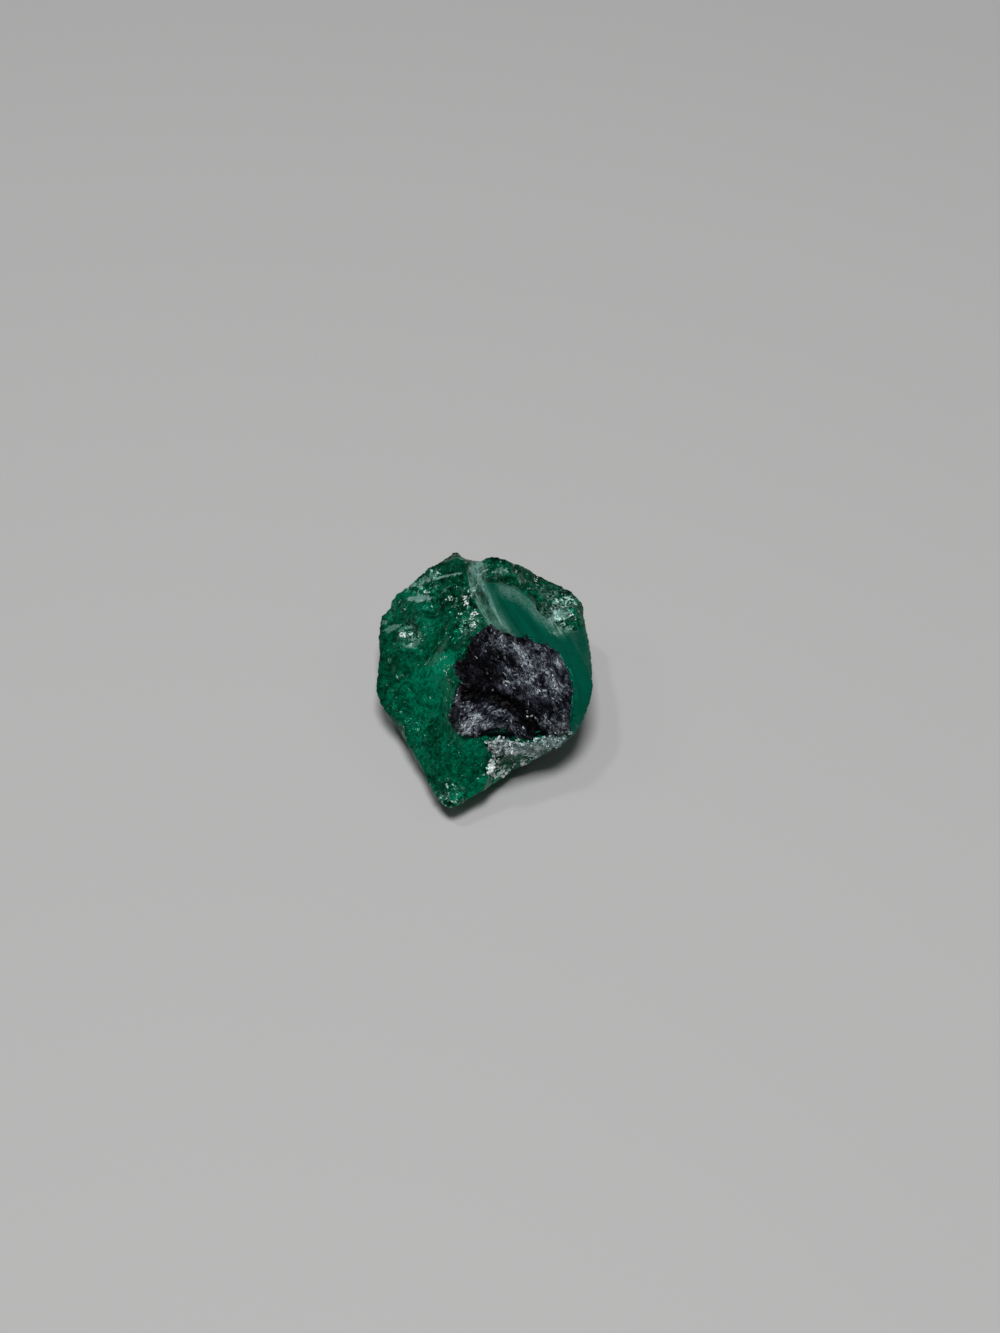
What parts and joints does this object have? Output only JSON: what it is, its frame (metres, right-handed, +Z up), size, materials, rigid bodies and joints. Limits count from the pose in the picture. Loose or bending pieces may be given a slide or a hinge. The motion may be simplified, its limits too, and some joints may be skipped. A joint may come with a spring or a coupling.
{
  "type": "raw emerald crystal",
  "caption": "Broken green beryl crystal lying on its fracture face, with a ridge along the top, a scrap of dark mica schist over the front and a thin pale crust below it.",
  "frame": {"origin": "on the resting face's plane, under the middle of the stone", "axes": "+Z up from the resting face, +Y along the stone's length towards the ridge's far end, -Y towards the pointed end, +X to the side of the smooth prism face"},
  "size_m": [0.0122, 0.0148, 0.007],
  "materials": {
    "green_beryl": "glassy fractures with pale abraded edges, deep bluish green, see-through where it is thin",
    "dark_mica_schist": "violet-black, scaly, with small mica glints",
    "pale_crust": "grey-white, grainy, with glassy grains"
  },
  "bodies": {
    "root": {"emerald_crystal": "green_beryl", "mica_patch": "dark_mica_schist", "pale_crust": "pale_crust"}
  },
  "joints": []
}
